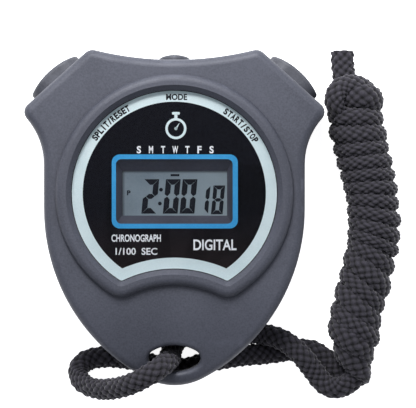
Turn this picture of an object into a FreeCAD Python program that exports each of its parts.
"""Hand-held digital stopwatch with a braided neck lanyard, lying on its back.

Millimetres. X runs across the case, +Y towards the mode button, +Z out of the dial.
The origin is under the middle of the case, on the plane that its back rests on.
Every separate piece is written to its own STEP file, parts/NODE.step.
"""

import FreeCAD
import Part

import math
import os

from FreeCAD import Vector

# ---------------------------------------------------------------- case, seen from the front
CASE_LENGTH = 75.0  # tail tip to ear peak
EAR_WIDTH = 67.0  # across the two ears, the widest place
WAIST_WIDTH = EAR_WIDTH - 8.8  # across the straight sides
TOP_DIP = 2.2  # how far the middle of the top edge lies below the ear peaks
TOP_RADIUS = EAR_WIDTH * 1.105  # hollow arc of the top edge
EAR_NORMAL_DEG = 48.0  # direction that an ear's flat face looks in, above +X
EAR_PEAK_RADIUS = 2.5
EAR_TIP_RADIUS = 2.2
EAR_HOLLOW_RADIUS = 15.5  # hollow between the ear tip and the waist
SIDE_RADIUS = 43.0
TAIL_RADIUS = 13.5

CORD_DIAMETER = 4.2  # neck cord

# ---------------------------------------------------------------- case, seen from the side
CASE_DEPTH = 20.0  # back plane to the crest of the bezel
BEZEL_HEIGHT = 1.8  # crest above the deck
TAIL_LIFT = CORD_DIAMETER + 0.8  # the back of the tail clears the cord under it
BACK_RISE_Y = -14.0  # where the back starts to rise
BACK_RISE_RUN = 11.0  # how far along Y the rise takes
FRONT_BREAK_Y = -15.0  # where the deck starts to fall
FRONT_FALL_RADIUS = 56.0
PARTING_Z = 9.0  # joint plane of the two shells
WALL = 1.8
EDGE_ROUND = 1.8
LIP_HEIGHT = 1.2
LIP_THICKNESS = 0.8
LIP_CLEARANCE = 0.08
GROOVE_HEIGHT = 0.25  # shadow groove where the shells meet
GROOVE_DEPTH = 0.3

# ---------------------------------------------------------------- dial and window
DIAL_Y = 5.5
DIAL_RADIUS = 22.95
NOTCH_RADIUS = 26.4  # hollow arc along the foot of the dial
NOTCH_TOP_Y = -11.4
DIAL_CORNER_RADIUS = 0.9
BEZEL_WIDTH = 3.6
BEZEL_ROUND = 1.6
BEZEL_CHAMFER = 1.1
LENS_SINK = 1.15  # lens face below the bezel crest
LENS_THICKNESS = 1.5
DIAL_THICKNESS = 0.3
TAPE_THICKNESS = 0.2
TAPE_WIDTH = 1.6
LENS_CLEARANCE = 0.06
LEDGE_THICKNESS = 1.5
LEDGE_WIDTH = 1.6
WINDOW_WIDTH = 26.0
WINDOW_HEIGHT = 14.4
WINDOW_Y = 5.9
WINDOW_CORNER = 1.2

# ---------------------------------------------------------------- display module
VIEW_WIDTH = 23.5  # what the display frame leaves in view
VIEW_HEIGHT = 10.0
VIEW_DROP = 0.4  # the view sits this far below the middle of the window
DISPLAY_DEPTH = 2.4  # polariser face below the top of the display frame
CELL_WIDTH = 28.0
CELL_HEIGHT = 14.5
CELL_THICKNESS = 1.4
CELL_MARGIN = 1.0  # how much smaller than the cell its films are
FILM_THICKNESS = 0.2
FRAME_WIDTH = 33.0
FRAME_HEIGHT = 21.0
FRAME_NECK_MARGIN = 1.4  # neck round the window, inside the case opening
FIT_GAP = 0.1  # between pieces that sit in one another
ZEBRA_WIDTH = 1.4
BOARD_THICKNESS = 1.0
BOARD_Z = 9.2  # rear face of the circuit board
BOARD_HALF_WIDTH = 21.5
BOARD_TOP_Y = CASE_LENGTH / 2 - 13.5
BOARD_FOOT_Y = -11.5
BOARD_FOOT_CHAMFER = 5.0
BOARD_FROM_EAR = 13.2  # chamfered board edge, measured in from the ear face

# ---------------------------------------------------------------- lanyard eye
EYE_Y = -CASE_LENGTH / 2 + 6.1
EYE_HALF_LENGTH = 5.8
EYE_HALF_WIDTH = CORD_DIAMETER / 2 + 0.9
EYE_END_RADIUS = 2.0
EYE_ROUND = 1.0

# ---------------------------------------------------------------- buttons
EAR_CAP_LENGTH = 13.4
EAR_CAP_WIDTH = 9.0
EAR_CAP_RISE = 2.45
EAR_CAP_DOME = 18.0
MODE_CAP_LENGTH = 6.9
MODE_CAP_WIDTH = 6.9
MODE_CAP_RISE = 1.25
MODE_CAP_DOME = 9.0
EAR_TRAVEL = 1.2
MODE_TRAVEL = 0.9
CAP_SUNK = 1.0  # part of a cap that stays in its pocket
CAP_CLEARANCE = 0.2
CAP_ROUND = 0.7
POCKET_SPARE = 0.15  # pocket depth left under a fully pressed cap
POCKET_FLOOR = 1.4
POCKET_WALL = 1.2
STEM_RADIUS = 1.5
STEM_CLEARANCE = 0.05
SPRING_SEAT_RADIUS = 2.7
SPRING_SEAT_DEPTH = 1.6
MODE_SPRING_SEAT_DEPTH = 1.2
SPRING_WIRE_RADIUS = 0.25
SPRING_COIL_RADIUS = 2.1
SPRING_TURNS = 4
CLIP_RADIUS = 2.6
CLIP_THICKNESS = 0.5
CLIP_GROOVE_RADIUS = 1.0
CLIP_GAP = 0.02
CONTACT_THICKNESS = 0.2
CONTACT_WIDTH = 4.0
CONTACT_BASE = 3.0
CONTACT_SPARE = 0.02  # between a fully pressed stem and its contact

# ---------------------------------------------------------------- fasteners
CASE_SCREWS = [(12.5, 31.5), (21.0, -13.0)]  # right-hand ones; the left ones mirror them
CASE_BOSS_RADIUS = 2.8
CASE_SCREW_RADIUS = 1.0
CASE_HEAD_RADIUS = 1.9
CASE_HEAD_HEIGHT = 1.4
CASE_HEAD_SINK = 3.0  # seat of the head above the back plane
CASE_SCREW_TIP_Z = 15.0
BOARD_SCREWS = [(19.3, 12.0), (19.3, -5.0)]
BOARD_POST_RADIUS = 1.7
BOARD_SCREW_RADIUS = 0.7
BOARD_HEAD_RADIUS = 1.5
BOARD_HEAD_HEIGHT = 0.9
BOARD_SCREW_TIP = 4.0  # thread past the board
THREAD_CLEARANCE = 0.02

# ---------------------------------------------------------------- battery and buzzer
BATTERY_RADIUS = 5.8
BATTERY_THICKNESS = 5.4
BATTERY_PLACE = (-9.0, 1.0)
METAL = 0.3  # sheet-metal contacts
BUZZER_RADIUS = 10.0
BUZZER_THICKNESS = 0.25
CERAMIC_RADIUS = 7.0
BUZZER_PLACE = (9.5, 2.0)
FOAM_RADIUS = 4.0

# ---------------------------------------------------------------- lanyard
CORD_ON_TABLE = CORD_DIAMETER / 2 + 0.05  # height of the cord's middle where it lies flat
HANK_RADIUS = 6.1
HANK_END_ROUND = 2.5
# The hank's middle from top to foot, each point as (distance outside the ear's tip, y).
HANK_ROUTE = [
    (6.4, 30.2),
    (6.9, 23.0),
    (8.6, 15.0),
    (10.6, 7.5),
    (11.6, 0.0),
    (11.2, -6.5),
    (9.6, -13.5),
    (7.4, -20.5),
    (6.9, -27.5),
    (7.9, -34.5),
]
# Points are (x, y, z). The end's start from the top of the hank.
END_FROM_HANK_TOP = [
    (-0.5, -3.2, CORD_ON_TABLE + 4.05),
    (-1.6, 1.0, CORD_ON_TABLE + 3.85),
    (-2.1, 4.2, CORD_ON_TABLE + 3.35),
    (-2.1, 7.2, CORD_ON_TABLE + 2.75),
]
# Counted from the foot of the hank. First the strand that leaves it, high up.
OUT_FROM_HANK_FOOT = [
    (-1.0, -1.5, CORD_ON_TABLE + 6.75),
    (-3.8, -3.9, CORD_ON_TABLE + 4.45),
    (-7.4, -3.4, CORD_ON_TABLE + 3.05),
    (-10.0, -0.1, CORD_ON_TABLE + 3.05),
    (-13.2, 4.1, CORD_ON_TABLE + CORD_DIAMETER + 0.65),
    (-17.0, 7.2, CORD_ON_TABLE + CORD_DIAMETER - 0.35),
    (-22.0, 8.4, CORD_ON_TABLE + 0.65),
]
# Then the strand that comes back and goes in under it.
BACK_TO_HANK_FOOT = [
    (-15.8, 4.5, CORD_ON_TABLE),
    (-11.0, 4.9, CORD_ON_TABLE),
    (-7.5, 2.9, CORD_ON_TABLE + 0.15),
    (-4.4, -0.3, CORD_ON_TABLE + 0.45),
    (-1.0, -0.9, CORD_ON_TABLE + 1.75),
]
# Counted from the middle of the eye: under the tail, up through the eye, round and back.
ROUND_THE_EYE = [
    (13.4, 5.5, CORD_ON_TABLE),
    (7.2, 5.7, CORD_ON_TABLE),
    (2.2, 5.3, CORD_ON_TABLE),
    (-0.4, 2.7, CORD_ON_TABLE + 0.35),
    (-1.0, 0.5, CORD_ON_TABLE + 2.75),
    (-0.9, 0.1, CASE_DEPTH - 10.6),
    (-1.2, -0.3, CASE_DEPTH - 5.6),
    (-4.0, -2.6, CASE_DEPTH - 1.7),
    (-9.2, -5.6, CASE_DEPTH - 2.6),
    (-14.2, -7.1, CASE_DEPTH - 7.6),
    (-18.9, -7.1, CASE_DEPTH * 0.36),
    (-22.2, -4.7, CORD_ON_TABLE + 1.45),
    (-21.2, -1.2, CORD_ON_TABLE + 0.15),
    (-16.6, 0.1, CORD_ON_TABLE),
    (-10.4, -1.2, CORD_ON_TABLE),
    (-4.4, -3.2, CORD_ON_TABLE),
    (1.6, -3.2, CORD_ON_TABLE),
    (7.6, -1.1, CORD_ON_TABLE),
    (14.4, 0.2, CORD_ON_TABLE),
    (20.6, 0.6, CORD_ON_TABLE),
]

# ---------------------------------------------------------------- worked out from the above
DECK_Z = CASE_DEPTH - BEZEL_HEIGHT
TAIL_Y = -CASE_LENGTH / 2
TOP_Y = CASE_LENGTH / 2 - TOP_DIP
LENS_TOP_Z = CASE_DEPTH - LENS_SINK
DIAL_TOP_Z = LENS_TOP_Z - LENS_THICKNESS
TAPE_TOP_Z = DIAL_TOP_Z - DIAL_THICKNESS
LEDGE_Z = TAPE_TOP_Z - TAPE_THICKNESS
LEDGE_FOOT_Z = LEDGE_Z - LEDGE_THICKNESS
CAVITY_TOP_Z = DECK_Z - WALL
CAVITY_END_Y = EYE_Y + EYE_HALF_WIDTH + WALL
FRAME_TOP_Z = LEDGE_Z - FIT_GAP
FLANGE_Z = LEDGE_FOOT_Z
FILM_TOP_Z = FRAME_TOP_Z - DISPLAY_DEPTH
CELL_TOP_Z = FILM_TOP_Z - FILM_THICKNESS
CELL_FOOT_Z = CELL_TOP_Z - CELL_THICKNESS
BOARD_TOP_Z = BOARD_Z + BOARD_THICKNESS
VIEW_Y = WINDOW_Y - VIEW_DROP
EAR_NORMAL = Vector(
    math.cos(math.radians(EAR_NORMAL_DEG)), math.sin(math.radians(EAR_NORMAL_DEG)), 0
)
EAR_ALONG = Vector(EAR_NORMAL.y, -EAR_NORMAL.x, 0)  # down the ear face, towards its tip
UP = Vector(0, 0, 1)
FAR = 200.0  # larger than the whole object


# ================================================================ outlines
def arc(start, middle, end):
    return Part.Arc(start, middle, end).toShape()


def line(start, end):
    return Part.makeLine(start, end)


def on_circle(centre, radius, towards):
    """The point of a circle that lies towards another point."""
    step = towards - centre
    step.normalize()
    return centre + step * radius


def arc_about(centre, radius, start, end):
    """The shorter arc about a centre between two directions."""
    first = start - centre
    last = end - centre
    first.normalize()
    last.normalize()
    middle = on_circle(centre, radius, centre + first + last)
    return arc(centre + first * radius, middle, centre + last * radius)


def mirrored_x(edges):
    return [e.mirror(Vector(0, 0, 0), Vector(1, 0, 0)) for e in edges]


def closed_face(edges):
    return Part.Face(Part.Wire(Part.__sortEdges__(edges)))


def case_face():
    """The case seen from the front, as a face at Z 0."""
    top_centre = Vector(0, TOP_Y + TOP_RADIUS, 0)
    peak_y = CASE_LENGTH / 2 - EAR_PEAK_RADIUS
    reach = TOP_RADIUS + EAR_PEAK_RADIUS
    peak = Vector(math.sqrt(reach**2 - (peak_y - top_centre.y) ** 2), peak_y, 0)
    on_face = peak + EAR_NORMAL * EAR_PEAK_RADIUS
    tip_x = EAR_WIDTH / 2 - EAR_TIP_RADIUS
    inset = on_face - EAR_NORMAL * EAR_TIP_RADIUS
    along = (tip_x - inset.x) / EAR_ALONG.x
    tip = inset + EAR_ALONG * along
    hollow_x = WAIST_WIDTH / 2 + EAR_HOLLOW_RADIUS
    reach = EAR_HOLLOW_RADIUS + EAR_TIP_RADIUS
    hollow = Vector(hollow_x, tip.y - math.sqrt(reach**2 - (hollow_x - tip.x) ** 2), 0)
    tail = Vector(0, TAIL_Y + TAIL_RADIUS, 0)
    side_x = WAIST_WIDTH / 2 - SIDE_RADIUS
    side = Vector(side_x, tail.y + math.sqrt((SIDE_RADIUS - TAIL_RADIUS) ** 2 - side_x**2), 0)

    top = Vector(0, TOP_Y, 0)
    peak_start = on_circle(top_centre, TOP_RADIUS, peak)
    peak_end = peak + EAR_NORMAL * EAR_PEAK_RADIUS
    tip_start = tip + EAR_NORMAL * EAR_TIP_RADIUS
    tip_end = on_circle(hollow, EAR_HOLLOW_RADIUS, tip)
    waist_start = Vector(WAIST_WIDTH / 2, hollow.y, 0)
    waist_end = Vector(WAIST_WIDTH / 2, side.y, 0)
    tail_start = on_circle(tail, TAIL_RADIUS, tail + (tail - side))
    foot = Vector(0, TAIL_Y, 0)
    half = [
        arc_about(top_centre, TOP_RADIUS, top, peak_start),
        arc_about(peak, EAR_PEAK_RADIUS, peak_start, peak_end),
        line(peak_end, tip_start),
        arc_about(tip, EAR_TIP_RADIUS, tip_start, tip_end),
        arc_about(hollow, EAR_HOLLOW_RADIUS, tip_end, waist_start),
        line(waist_start, waist_end),
        arc_about(side, SIDE_RADIUS, waist_end, tail_start),
        arc_about(tail, TAIL_RADIUS, tail_start, foot),
    ]
    return closed_face(half + mirrored_x(half)), (peak_end + tip_start) * 0.5


CASE_FACE, EAR_MIDDLE = case_face()


def inset_case_face(inset):
    return CASE_FACE.makeOffset2D(-inset) if inset else CASE_FACE


def side_prism(inset):
    """The case seen from the side, drawn in by inset and run right across in X."""
    half_run = BACK_RISE_RUN / 2
    half_lift = TAIL_LIFT / 2
    radius = (half_run**2 + half_lift**2) / (2 * half_lift)
    bend = math.asin(half_run / radius)
    start = Vector(-FAR / 2, BACK_RISE_Y, 0)
    end = Vector(-FAR / 2, BACK_RISE_Y - BACK_RISE_RUN, TAIL_LIFT)
    lower = start + UP * radius
    upper = end - UP * radius

    def below(angle):
        return lower + Vector(0, -math.sin(angle), -math.cos(angle)) * (radius - inset)

    def above(angle):
        return upper + Vector(0, math.sin(angle), math.cos(angle)) * (radius + inset)

    tail_reach = CASE_LENGTH
    fall = Vector(-FAR / 2, FRONT_BREAK_Y, DECK_Z - FRONT_FALL_RADIUS)
    fall_radius = FRONT_FALL_RADIUS - inset
    fall_end = math.asin((CASE_LENGTH / 2 + 1 + FRONT_BREAK_Y) / FRONT_FALL_RADIUS)

    def falling(angle):
        return fall + Vector(0, -math.sin(angle), math.cos(angle)) * fall_radius

    last = falling(fall_end)
    far_back = Vector(-FAR / 2, tail_reach, inset)
    far_front = Vector(-FAR / 2, tail_reach, DECK_Z - inset)
    edges = [
        line(far_back, below(0)),
        arc(below(0), below(bend / 2), below(bend)),
        arc(above(bend), above(bend / 2), above(0)),
        line(above(0), Vector(-FAR / 2, last.y, TAIL_LIFT + inset)),
        line(Vector(-FAR / 2, last.y, TAIL_LIFT + inset), last),
        arc(last, falling(fall_end / 2), falling(0)),
        line(falling(0), far_front),
        line(far_front, far_back),
    ]
    return closed_face(edges).extrude(Vector(FAR, 0, 0))


def shield_face(grow, z):
    """The dial's outline: a round with a hollow foot and two soft corners, grown by grow."""
    centre = Vector(0, DIAL_Y, z)
    notch = Vector(0, NOTCH_TOP_Y - NOTCH_RADIUS, z)
    round_radius = DIAL_RADIUS + grow
    notch_radius = NOTCH_RADIUS - grow
    corner_radius = max(DIAL_CORNER_RADIUS + grow, 0.0)
    apart = centre.y - notch.y
    to_centre = round_radius - corner_radius
    to_notch = notch_radius + corner_radius
    down = (to_centre**2 - to_notch**2 + apart**2) / (2 * apart)
    corner = Vector(math.sqrt(to_centre**2 - down**2), centre.y - down, z)
    outer = on_circle(centre, round_radius, corner) if corner_radius else corner
    inner = on_circle(notch, notch_radius, corner) if corner_radius else corner
    top = centre + Vector(0, round_radius, 0)
    foot = notch + Vector(0, notch_radius, 0)
    side = centre + Vector(round_radius, 0, 0)
    half = [arc(top, side, outer), arc_about(notch, notch_radius, inner, foot)]
    if corner_radius:
        half.append(arc_about(corner, corner_radius, outer, inner))
    return closed_face(half + mirrored_x(half))


def shield(grow, low, high):
    return shield_face(grow, low).extrude(UP * (high - low))


def rounded_rectangle(width, height, radius, x, y, z):
    """A face with round corners, centred on x, y."""
    half_w = width / 2 - radius
    half_h = height / 2 - radius
    corners = [(1, 1, 0), (-1, 1, 90), (-1, -1, 180), (1, -1, 270)]
    if radius <= 0:
        points = [Vector(x + sx * half_w, y + sy * half_h, z) for sx, sy, _ in corners]
        return Part.Face(Part.makePolygon(points + points[:1]))
    edges = []
    for index, (sx, sy, start) in enumerate(corners):
        centre = Vector(x + sx * half_w, y + sy * half_h, z)
        turns = [math.radians(start + a) for a in (0, 45, 90)]
        points = [centre + Vector(math.cos(t), math.sin(t), 0) * radius for t in turns]
        edges.append(arc(*points))
        nsx, nsy, nstart = corners[(index + 1) % 4]
        following = Vector(x + nsx * half_w, y + nsy * half_h, z)
        turn = math.radians(nstart)
        reach = following + Vector(math.cos(turn), math.sin(turn), 0) * radius
        if (reach - points[2]).Length > 1e-6:
            edges.append(line(points[2], reach))
    return closed_face(edges)


def slab(width, height, radius, x, y, low, high):
    return rounded_rectangle(width, height, radius, x, y, low).extrude(UP * (high - low))


def disc(x, y, radius, low, high):
    return Part.makeCylinder(radius, high - low, Vector(x, y, low))


def both_sides(places):
    return [(sx * x, y) for x, y in places for sx in (1, -1)]


def eye_prism():
    """The lanyard eye: an oval of four tangent arcs, run right through the tail."""
    run = EYE_HALF_LENGTH - EYE_END_RADIUS
    flank = (run**2 + EYE_HALF_WIDTH**2 - EYE_END_RADIUS**2) / (2 * (EYE_HALF_WIDTH - EYE_END_RADIUS))
    edges = []
    for side in (1, -1):
        end = Vector(side * run, EYE_Y, -1)
        high = Vector(0, EYE_Y - flank + EYE_HALF_WIDTH, -1)
        low = Vector(0, EYE_Y + flank - EYE_HALF_WIDTH, -1)
        upper = on_circle(high, flank, end)
        lower = on_circle(low, flank, end)
        edges.append(arc(upper, end + Vector(side * EYE_END_RADIUS, 0, 0), lower))
        edges.append(arc_about(high, flank, upper, high + Vector(0, flank, 0)))
        edges.append(arc_about(low, flank, lower, low - Vector(0, flank, 0)))
    return closed_face(edges).extrude(UP * (CASE_DEPTH + 2))


# ================================================================ buttons, in their own frame
# Local X runs along the case edge, local Y is the case's Z, and local Z points out of the case.
class Button:
    """One push button: its size, its place on the case and the pieces that belong to it."""

    def __init__(self, name, place, outward, length, width, rise, dome, travel, seat_depth, reach):
        self.name = name
        self.length = length
        self.width = width
        self.rise = rise
        self.dome = dome
        self.travel = travel
        self.seat_depth = seat_depth
        self.reach = reach  # from the case edge in to the rest position of the contact's face
        across = UP.cross(outward)
        matrix = FreeCAD.Matrix(
            across.x, 0, outward.x, place.x,
            across.y, 0, outward.y, place.y,
            across.z, 1, outward.z, place.z,
            0, 0, 0, 1,
        )  # fmt: skip
        self.placement = FreeCAD.Placement(matrix)
        self.pocket_depth = CAP_SUNK + travel + POCKET_SPARE
        self.boss_depth = self.pocket_depth + POCKET_FLOOR

    def put(self, shape):
        """Moves a shape from the button's own frame to its place on the case."""
        moved = shape.copy()
        moved.Placement = self.placement.multiply(moved.Placement)
        return moved

    def prism(self, grow, low, high):
        """The cap's rounded outline, grown by grow."""
        width = self.width + 2 * grow
        length = self.length + 2 * grow
        radius = min(width, length) / 2 - 0.001
        return rounded_rectangle(length, width, radius, 0, 0, low).extrude(UP * (high - low))

    def boss(self):
        return self.put(self.prism(CAP_CLEARANCE + POCKET_WALL, -self.boss_depth, 0))

    def pocket(self):
        bore = STEM_RADIUS + STEM_CLEARANCE
        room = self.prism(CAP_CLEARANCE, -self.pocket_depth, CASE_DEPTH)
        hole = disc(0, 0, bore, -self.boss_depth - 1, 0)
        return self.put(room.fuse(hole))

    def cap(self):
        """Domed cap with its stem, spring seat and clip groove."""
        body = self.prism(0, -CAP_SUNK, self.rise + 1)
        ball = Part.makeCylinder(
            self.dome, 2 * self.width, Vector(0, -self.width, self.rise - self.dome), Vector(0, 1, 0)
        )
        body = body.common(ball)
        rim = [e for e in body.Edges if e.BoundBox.ZMin > 0.05]
        body = body.makeFillet(CAP_ROUND, rim)
        tip = -self.reach + self.travel + CONTACT_SPARE
        stem = disc(0, 0, STEM_RADIUS, tip, self.rise / 2)
        seat = disc(0, 0, SPRING_SEAT_RADIUS, -CAP_SUNK - 1, -CAP_SUNK + self.seat_depth)
        clip_top = -self.boss_depth - CLIP_GAP
        groove = disc(0, 0, STEM_RADIUS + 1, clip_top - CLIP_THICKNESS, clip_top)
        groove = groove.cut(disc(0, 0, CLIP_GROOVE_RADIUS, clip_top - CLIP_THICKNESS - 1, clip_top + 1))
        return self.put(body.cut(seat).fuse(stem).cut(groove).removeSplitter())

    def clip(self):
        """Open snap ring in the stem's groove, which keeps the button in the case."""
        top = -self.boss_depth - CLIP_GAP
        low = top - CLIP_THICKNESS
        inner = CLIP_GROOVE_RADIUS + THREAD_CLEARANCE
        ring = disc(0, 0, CLIP_RADIUS, low, top).cut(disc(0, 0, inner, low - 1, top + 1))
        mouth = Part.makeBox(2 * inner * 0.85, CLIP_RADIUS + 1, CLIP_THICKNESS + 2)
        mouth.translate(Vector(-inner * 0.85, 0, low - 1))
        return self.put(ring.cut(mouth))

    def spring(self):
        """Coil spring between the cap's seat and the floor of the pocket."""
        slack = 0.03
        low = -self.pocket_depth + SPRING_WIRE_RADIUS + slack
        high = -CAP_SUNK + self.seat_depth - SPRING_WIRE_RADIUS - slack
        coil = coil_spring(SPRING_COIL_RADIUS, SPRING_WIRE_RADIUS, high - low, SPRING_TURNS)
        coil.translate(Vector(0, 0, low))
        return self.put(coil)

    def contact(self):
        """Bent strip on the rear of the board that the stem's end closes."""
        face = -self.reach
        below = BOARD_Z - self.placement.Base.z
        flap = Part.makeBox(CONTACT_WIDTH, below + STEM_RADIUS, CONTACT_THICKNESS)
        flap.translate(Vector(-CONTACT_WIDTH / 2, -STEM_RADIUS, face - CONTACT_THICKNESS))
        base = Part.makeBox(CONTACT_WIDTH, CONTACT_THICKNESS, CONTACT_BASE)
        base.translate(Vector(-CONTACT_WIDTH / 2, below - CONTACT_THICKNESS, face - CONTACT_BASE))
        return self.put(flap.fuse(base).removeSplitter())


def coil_spring(radius, wire_radius, height, turns):
    helix = Part.makeHelix(height / turns, height, radius)
    rise = height / turns
    along = Vector(0, 2 * math.pi * radius, rise)
    section = Part.Wire(Part.makeCircle(wire_radius, Vector(radius, 0, 0), along))
    return Part.Wire(helix).makePipeShell([section], True, True)


def make_buttons():
    """The start, split and mode buttons. Their contacts stand just off the board's edges."""
    ear_reach = BOARD_FROM_EAR - CONTACT_THICKNESS
    mode_reach = TOP_Y - BOARD_TOP_Y - CONTACT_THICKNESS
    ear = (
        EAR_CAP_LENGTH, EAR_CAP_WIDTH, EAR_CAP_RISE, EAR_CAP_DOME,
        EAR_TRAVEL, SPRING_SEAT_DEPTH, ear_reach,
    )  # fmt: skip
    mode = (
        MODE_CAP_LENGTH, MODE_CAP_WIDTH, MODE_CAP_RISE, MODE_CAP_DOME,
        MODE_TRAVEL, MODE_SPRING_SEAT_DEPTH, mode_reach,
    )  # fmt: skip
    right = EAR_MIDDLE + UP * PARTING_Z
    left = Vector(-right.x, right.y, right.z)
    left_normal = Vector(-EAR_NORMAL.x, EAR_NORMAL.y, 0)
    return [
        Button("start_stop", right, EAR_NORMAL, *ear),
        Button("split_reset", left, left_normal, *ear),
        Button("mode", Vector(0, TOP_Y, PARTING_Z), Vector(0, 1, 0), *mode),
    ]


# ================================================================ case shells
def outer_case():
    """The whole outside of the case: rounded body, bezel, lens recess and lanyard eye."""
    body = CASE_FACE.extrude(UP * CASE_DEPTH).common(side_prism(0))
    side_edges = [e for e in body.Edges if abs(e.tangentAt(e.FirstParameter).z) > 0.99 and is_upright(e)]
    upright = {e.hashCode() for e in side_edges}
    ridge_edges = [e for e in body.Edges if e.hashCode() not in upright and borders_side_wall(body, e)]
    body = body.makeFillet(EDGE_ROUND, ridge_edges)
    bezel = shield(BEZEL_WIDTH, DECK_Z - 2, CASE_DEPTH)
    crest = [e for e in bezel.Edges if e.BoundBox.ZMin > CASE_DEPTH - 0.01]
    bezel = bezel.makeFillet(BEZEL_ROUND, crest)
    body = body.fuse(bezel).cut(shield(LENS_CLEARANCE, LEDGE_Z, CASE_DEPTH + 1))
    crest = [e for e in body.Edges if e.BoundBox.ZMin > CASE_DEPTH - 0.01]
    body = body.makeChamfer(BEZEL_CHAMFER, [e for e in crest if is_bezel_rim(e)])
    body = body.cut(eye_prism())
    return body.makeFillet(EYE_ROUND, [e for e in body.Edges if is_eye_rim(e)])


def is_upright(edge):
    box = edge.BoundBox
    return box.XLength < 0.01 and box.YLength < 0.01


def borders_side_wall(body, edge):
    """True for an edge between an upright wall and the front or back of the body."""
    faces = body.ancestorsOfType(edge, Part.Face)
    upright = [abs(normal_at_middle(f).z) < 0.01 for f in faces]
    return len(upright) == 2 and upright[0] != upright[1]


def normal_at_middle(face):
    u_low, u_high, v_low, v_high = face.ParameterRange
    return face.normalAt((u_low + u_high) / 2, (v_low + v_high) / 2)


def is_bezel_rim(edge):
    """True for the edge of the lens recess, which is the inner of the bezel's two crest edges."""
    middle = edge.valueAt((edge.FirstParameter + edge.LastParameter) / 2)
    apart = shield_face(LENS_CLEARANCE, CASE_DEPTH).OuterWire.distToShape(Part.Vertex(middle))[0]
    return apart < 0.01


def is_eye_rim(edge):
    box = edge.BoundBox
    inside = abs(box.Center.x) < EYE_HALF_LENGTH + 0.1 and abs(box.Center.y - EYE_Y) < EYE_HALF_WIDTH + 0.1
    within = box.XLength < 2 * EYE_HALF_LENGTH + 0.1 and box.YLength < 2 * EYE_HALF_WIDTH + 0.1
    return inside and within and not is_upright(edge)


def cavity():
    """The hollow inside the case, without the dial platform, and stopped short of the eye."""
    hollow = inset_case_face(WALL).extrude(UP * CASE_DEPTH).common(side_prism(WALL))
    room = Part.makeBox(FAR, FAR, FAR, Vector(-FAR / 2, CAVITY_END_Y, -FAR / 2))
    platform = shield(LEDGE_WIDTH, LEDGE_FOOT_Z, CASE_DEPTH + 1)
    return hollow.common(room).cut(platform)


def casing(buttons):
    """Both shells as one, hollowed, with bosses, button pockets, the window and screw holes."""
    outside = outer_case()
    whole = outside.cut(cavity())
    ceiling = CAVITY_TOP_Z + WALL / 2
    bosses = [disc(x, y, CASE_BOSS_RADIUS, WALL / 2, ceiling) for x, y in both_sides(CASE_SCREWS)]
    under_ledge = LEDGE_FOOT_Z + LEDGE_THICKNESS / 2
    bosses += [disc(x, y, BOARD_POST_RADIUS, BOARD_TOP_Z, under_ledge) for x, y in both_sides(BOARD_SCREWS)]
    bosses += [b.boss().common(outside) for b in buttons]
    bosses.append(buzzer_ring())
    whole = whole.fuse(bosses)
    holes = [b.pocket() for b in buttons]
    holes.append(
        slab(
            WINDOW_WIDTH + 2 * FRAME_NECK_MARGIN, WINDOW_HEIGHT + 2 * FRAME_NECK_MARGIN,
            WINDOW_CORNER, 0, WINDOW_Y, LEDGE_FOOT_Z - 1, LEDGE_Z + 1,
        )
    )  # fmt: skip
    for x, y in both_sides(CASE_SCREWS):
        free = CASE_SCREW_RADIUS + LIP_CLEARANCE * 2
        holes.append(disc(x, y, CASE_HEAD_RADIUS + CAP_CLEARANCE, -1, CASE_HEAD_SINK))
        holes.append(disc(x, y, free, 0, PARTING_Z))
        holes.append(disc(x, y, CASE_SCREW_RADIUS + THREAD_CLEARANCE, 0, CASE_SCREW_TIP_Z + FIT_GAP))
    for x, y in both_sides(BOARD_SCREWS):
        tip = BOARD_TOP_Z + BOARD_SCREW_TIP + FIT_GAP
        holes.append(disc(x, y, BOARD_SCREW_RADIUS + THREAD_CLEARANCE, BOARD_TOP_Z - 1, tip))
    return whole.cut(holes)


def buzzer_ring():
    """Low round wall on the back shell that centres the buzzer."""
    x, y = BUZZER_PLACE
    inner = BUZZER_RADIUS + FIT_GAP
    ring = disc(x, y, inner + 1.0, WALL / 2, WALL + 1.0)
    return ring.cut(disc(x, y, inner, WALL, WALL + 2))


def lip(grow, high):
    """Tongue of the back shell's wall that stands inside the front shell."""
    outer = inset_case_face(WALL - LIP_THICKNESS - grow)
    inner = inset_case_face(WALL)
    base = outer.cut(inner)
    base.translate(UP * PARTING_Z)
    tongue = base.extrude(UP * high)
    room = Part.makeBox(FAR, FAR, FAR, Vector(-FAR / 2, CAVITY_END_Y + 1 - grow, 0))
    return tongue.common(room)


def lip_gaps(buttons, gap):
    """Where the lip makes way for the button pockets and the screw bosses."""
    wall = CAP_CLEARANCE + POCKET_WALL + gap
    gaps = [b.put(b.prism(wall, -b.boss_depth - gap, 1)) for b in buttons]
    return gaps + [disc(x, y, CASE_BOSS_RADIUS + gap, 0, CASE_DEPTH) for x, y in both_sides(CASE_SCREWS)]


def groove():
    """Shadow groove round the back shell, just under the joint plane."""
    band = CASE_FACE.cut(inset_case_face(GROOVE_DEPTH))
    band.translate(UP * (PARTING_Z - GROOVE_HEIGHT))
    return band.extrude(UP * GROOVE_HEIGHT)


def make_case(buttons):
    whole = casing(buttons)
    above = Part.makeBox(FAR, FAR, FAR, Vector(-FAR / 2, -FAR / 2, PARTING_Z))
    below = Part.makeBox(FAR, FAR, FAR, Vector(-FAR / 2, -FAR / 2, PARTING_Z - FAR))
    room = lip(LIP_CLEARANCE, LIP_HEIGHT + LIP_CLEARANCE).cut(lip_gaps(buttons, FIT_GAP))
    tongue = lip(0, LIP_HEIGHT).cut(lip_gaps(buttons, 2 * FIT_GAP))
    return {
        "front_case": whole.common(above).cut(room),
        "rear_case": whole.common(below).cut(groove()).fuse(tongue),
    }


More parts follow.
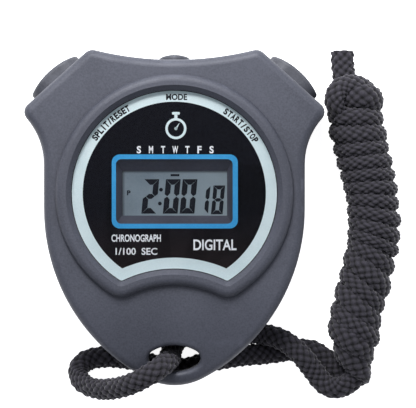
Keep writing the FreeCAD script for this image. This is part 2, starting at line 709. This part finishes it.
# ================================================================ lens, dial and display
def make_dial():
    window = slab(WINDOW_WIDTH, WINDOW_HEIGHT, WINDOW_CORNER, 0, WINDOW_Y, LEDGE_Z - 1, LENS_TOP_Z)
    inner = shield(-TAPE_WIDTH, LEDGE_Z - 1, LENS_TOP_Z)
    return {
        "lens": shield(0, DIAL_TOP_Z, LENS_TOP_Z),
        "dial_plate": shield(0, TAPE_TOP_Z, DIAL_TOP_Z).cut(window),
        "lens_tape": shield(0, LEDGE_Z, TAPE_TOP_Z).cut(inner),
    }


def make_display():
    """Frame with a sloped funnel down to the display cell, its films and its rubber connectors."""
    neck_gap = FRAME_NECK_MARGIN - FIT_GAP
    flange = slab(FRAME_WIDTH, FRAME_HEIGHT, 1.5, 0, WINDOW_Y, BOARD_TOP_Z + FIT_GAP / 2, FLANGE_Z)
    neck = slab(
        WINDOW_WIDTH + 2 * neck_gap, WINDOW_HEIGHT + 2 * neck_gap,
        WINDOW_CORNER - FIT_GAP, 0, WINDOW_Y, FLANGE_Z, FRAME_TOP_Z,
    )  # fmt: skip
    wide = rounded_rectangle(WINDOW_WIDTH, WINDOW_HEIGHT, 0, 0, WINDOW_Y, FRAME_TOP_Z).OuterWire
    narrow = rounded_rectangle(VIEW_WIDTH, VIEW_HEIGHT, 0, 0, VIEW_Y, FILM_TOP_Z).OuterWire
    funnel = Part.makeLoft([narrow, wide], True, True)
    gap = 2 * FIT_GAP
    pocket = slab(CELL_WIDTH + gap, CELL_HEIGHT + gap, 0, 0, VIEW_Y, BOARD_TOP_Z, FILM_TOP_Z)
    frame = flange.fuse(neck).cut(funnel).cut(pocket).removeSplitter()
    inner_w = CELL_WIDTH - CELL_MARGIN
    inner_h = CELL_HEIGHT - CELL_MARGIN
    connectors = []
    for side in (1, -1):
        y = VIEW_Y + side * (CELL_HEIGHT / 2 - ZEBRA_WIDTH / 2 - FIT_GAP)
        connectors.append(slab(inner_w, ZEBRA_WIDTH, 0, 0, y, BOARD_TOP_Z, CELL_FOOT_Z - FILM_THICKNESS))
    film_foot_z = CELL_FOOT_Z - FILM_THICKNESS
    return {
        "display_frame": frame,
        "display_polariser": slab(inner_w, inner_h, 0, 0, VIEW_Y, CELL_TOP_Z, FILM_TOP_Z),
        "display_cell": slab(CELL_WIDTH, CELL_HEIGHT, 0, 0, VIEW_Y, CELL_FOOT_Z, CELL_TOP_Z),
        "display_reflector": slab(inner_w, inner_h, 0, 0, VIEW_Y, film_foot_z, CELL_FOOT_Z),
        "zebra_connector_upper": connectors[0],
        "zebra_connector_lower": connectors[1],
    }


# ================================================================ circuit board and what is on it
def board_face():
    """Board outline with chamfers that face the two ear buttons."""
    middle = EAR_MIDDLE - EAR_NORMAL * BOARD_FROM_EAR
    at_top = middle - EAR_ALONG * ((BOARD_TOP_Y - middle.y) / -EAR_ALONG.y)
    at_side = middle + EAR_ALONG * ((BOARD_HALF_WIDTH - middle.x) / EAR_ALONG.x)
    half = [
        (at_top.x, BOARD_TOP_Y),
        (BOARD_HALF_WIDTH, at_side.y),
        (BOARD_HALF_WIDTH, BOARD_FOOT_Y + BOARD_FOOT_CHAMFER),
        (BOARD_HALF_WIDTH - BOARD_FOOT_CHAMFER, BOARD_FOOT_Y),
    ]
    points = half + [(-x, y) for x, y in reversed(half)]
    corners = [Vector(x, y, BOARD_Z) for x, y in points]
    return Part.Face(Part.makePolygon(corners + corners[:1]))


def make_board():
    board = board_face().extrude(UP * BOARD_THICKNESS)
    free = BOARD_SCREW_RADIUS + FIT_GAP
    holes = [disc(x, y, free, BOARD_Z - 1, BOARD_TOP_Z + 1) for x, y in both_sides(BOARD_SCREWS)]
    chip_x, chip_y = 6.0, 15.5
    dome_radius = 9.0
    blob = Part.makeSphere(dome_radius, Vector(chip_x, chip_y, BOARD_Z + dome_radius - 1.4))
    blob = blob.common(disc(chip_x, chip_y, 6.0, BOARD_Z - 2, BOARD_Z))
    can = Part.makeCylinder(1.0, 6.0, Vector(-14.5, 12.0, BOARD_Z - 1.0), Vector(1, 0, 0))
    leads = []
    for y in (11.45, 12.25):
        leads.append(Part.makeBox(1.2, 0.3, 0.3, Vector(-8.6, y, BOARD_Z - 1.15)))
        leads.append(Part.makeBox(0.3, 0.3, 1.15, Vector(-7.7, y, BOARD_Z - 1.15)))
    crystal = can.fuse(leads).removeSplitter()
    chips = [
        Part.makeBox(2.0, 1.2, 0.7, Vector(x, y, BOARD_Z - 0.7))
        for x, y in ((-3.0, 10.0), (-3.0, 8.0), (0.0, 19.2), (12.5, 13.5), (-13.0, 16.5), (-9.0, 16.5))
    ]
    return {
        "circuit_board": board.cut(holes),
        "chip_blob": blob,
        "quartz_crystal": crystal,
        "surface_components": Part.makeCompound(chips),
    }


def make_power():
    """Button cell between its two sheet-metal contacts, and the foam that steadies it."""
    x, y = BATTERY_PLACE
    minus_top = BOARD_Z
    top = minus_top - METAL - 0.1
    low = top - BATTERY_THICKNESS
    step = 0.4
    cell = disc(x, y, BATTERY_RADIUS, low, top - step)
    cell = cell.fuse(disc(x, y, BATTERY_RADIUS - 0.9, top - step, top)).removeSplitter()
    minus = slab(7.0, 4.0, 0.8, x, y, minus_top - METAL, minus_top)
    reach = BATTERY_RADIUS + FIT_GAP
    width = 5.0
    corner = Vector(x - reach - METAL, y - width / 2, low - METAL)
    strap = Part.makeBox(2 * (reach + METAL), width, METAL, corner)
    legs = [
        Part.makeBox(METAL, width, BOARD_Z - low + METAL, Vector(x + side, y - width / 2, low - METAL))
        for side in (-reach - METAL, reach)
    ]
    return {
        "battery": cell,
        "battery_minus_contact": minus,
        "battery_plus_clip": strap.fuse(legs).removeSplitter(),
        "battery_foam": disc(x, y, FOAM_RADIUS, WALL, low - METAL),
    }


def make_buzzer():
    x, y = BUZZER_PLACE
    top = WALL + BUZZER_THICKNESS
    ceramic_top = top + BUZZER_THICKNESS
    height = BOARD_Z - ceramic_top
    wire = 0.2
    spring = coil_spring(1.4, wire, height - 2 * wire - 0.1, 6)
    spring.translate(Vector(x, y, ceramic_top + wire + 0.05))
    return {
        "buzzer_disc": disc(x, y, BUZZER_RADIUS, WALL, top),
        "buzzer_ceramic": disc(x, y, CERAMIC_RADIUS, top, ceramic_top),
        "buzzer_spring": spring,
    }


# ================================================================ screws
def screw(radius, head_radius, head_height, length, x, y, head_z):
    """Pan-head screw, its head down, with a cross recess. head_z is where the head seats."""
    body = disc(x, y, head_radius, head_z - head_height, head_z)
    under = [e for e in body.Edges if e.BoundBox.ZMax < head_z - head_height + 0.01]
    body = body.makeFillet(head_height * 0.4, under)
    shank = disc(x, y, radius, head_z, head_z + length - radius)
    tip = Part.makeCone(radius, radius * 0.2, radius, Vector(x, y, head_z + length - radius))
    slots = []
    for long, short in ((head_radius * 1.2, head_radius * 0.28), (head_radius * 0.28, head_radius * 1.2)):
        corner = Vector(x - long / 2, y - short / 2, head_z - head_height - 1)
        slots.append(Part.makeBox(long, short, 1 + head_height * 0.6, corner))
    return body.cut(slots).fuse([shank, tip]).removeSplitter()


def make_screws():
    case_length = CASE_SCREW_TIP_Z - CASE_HEAD_SINK
    board_length = BOARD_THICKNESS + BOARD_SCREW_TIP
    case = [
        screw(CASE_SCREW_RADIUS, CASE_HEAD_RADIUS, CASE_HEAD_HEIGHT, case_length, x, y, CASE_HEAD_SINK)
        for x, y in both_sides(CASE_SCREWS)
    ]
    board = [
        screw(BOARD_SCREW_RADIUS, BOARD_HEAD_RADIUS, BOARD_HEAD_HEIGHT, board_length, x, y, BOARD_Z)
        for x, y in both_sides(BOARD_SCREWS)
    ]
    return {"case_screws": Part.makeCompound(case), "board_screws": Part.makeCompound(board)}


# ================================================================ lanyard
def rounded_route(points):
    """Straight runs joined by tangent arcs, each as large as its two runs allow."""
    spots = [Vector(*p) for p in points]
    edges, radii = [], []
    last = spots[0]
    for before, here, after in zip(spots, spots[1:], spots[2:]):
        back = before - here
        ahead = after - here
        shorter = min(back.Length, ahead.Length)
        half_turn = (math.pi - back.getAngle(ahead)) / 2
        cut = 0.45 * shorter
        back.normalize()
        ahead.normalize()
        radius = cut / math.tan(half_turn)
        start, end = here + back * cut, here + ahead * cut
        inward = back + ahead
        inward.normalize()
        middle = here + inward * (radius / math.cos(half_turn) - radius)
        edges += [line(last, start), arc(start, middle, end)]
        radii.append(radius)
        last = end
    edges.append(line(last, spots[-1]))
    return edges, radii


def round_tube(points, radius, label):
    edges, radii = rounded_route(points)
    path = Part.Wire(edges)
    start = edges[0].valueAt(edges[0].FirstParameter)
    towards = edges[0].tangentAt(edges[0].FirstParameter)
    section = Part.Wire(Part.makeCircle(radius, start, towards))
    tube = path.makePipeShell([section], True, True)
    expected = math.pi * radius**2 * path.Length
    filled = tube.Volume / expected
    turns = " ".join(f"{r:.1f}" for r in radii)
    print(f"{label}: length {path.Length:.1f}, volume / expected {filled:.4f}, radii {turns}")
    return tube


def shifted(points, x, y):
    return [(x + px, y + py, pz) for px, py, pz in points]


def hank_route():
    return [(EAR_WIDTH / 2 + x, y, HANK_RADIUS) for x, y in HANK_ROUTE]


def cord_route():
    """From the foot of the hank, under the tail, up through the eye, round the loop and back."""
    foot_x, foot_y, _ = hank_route()[-1]
    out = shifted(OUT_FROM_HANK_FOOT, foot_x, foot_y)
    back = shifted(BACK_TO_HANK_FOOT, foot_x, foot_y)
    return out + shifted(ROUND_THE_EYE, 0, EYE_Y) + back


def make_hank():
    """One closed solid of the wound cord's outer shape, bowed away from the case."""
    route = hank_route()
    tube = round_tube(route, HANK_RADIUS, "lanyard_hank")
    ends = [Vector(*route[0]), Vector(*route[-1])]
    rims = [e for e in tube.Edges if min((e.CenterOfMass - end).Length for end in ends) < 0.01]
    return tube.makeFillet(HANK_END_ROUND, rims)


def make_lanyard():
    """The wound hank, the free stretch that runs through the eye, and the short free end."""
    top_x, top_y, _ = hank_route()[0]
    end_route = shifted(END_FROM_HANK_TOP, top_x, top_y)
    return {
        "lanyard_hank": make_hank(),
        "lanyard_loop": round_tube(cord_route(), CORD_DIAMETER / 2, "lanyard_loop"),
        "lanyard_end": round_tube(end_route, CORD_DIAMETER / 2, "lanyard_end"),
    }


# ================================================================ build
def main():
    buttons = make_buttons()
    nodes = {}
    nodes.update(make_case(buttons))
    nodes.update(make_dial())
    nodes.update(make_display())
    nodes.update(make_board())
    nodes.update(make_power())
    nodes.update(make_buzzer())
    nodes.update(make_screws())
    nodes.update(make_lanyard())
    for button in buttons:
        nodes[button.name + "_button"] = button.cap()
        nodes[button.name + "_spring"] = button.spring()
        nodes[button.name + "_clip"] = button.clip()
        nodes[button.name + "_contact"] = button.contact()
    os.makedirs("parts", exist_ok=True)
    for name, shape in nodes.items():
        solids = shape.Solids
        if not solids or not shape.isValid():
            raise RuntimeError(f"{name} is not a valid solid")
        keep = solids[0] if len(solids) == 1 else Part.makeCompound(solids)
        keep.exportStep(f"parts/{name}.step")
        print(f"{name}: {len(solids)} solid(s), {keep.Volume:.1f} mm3")


main()
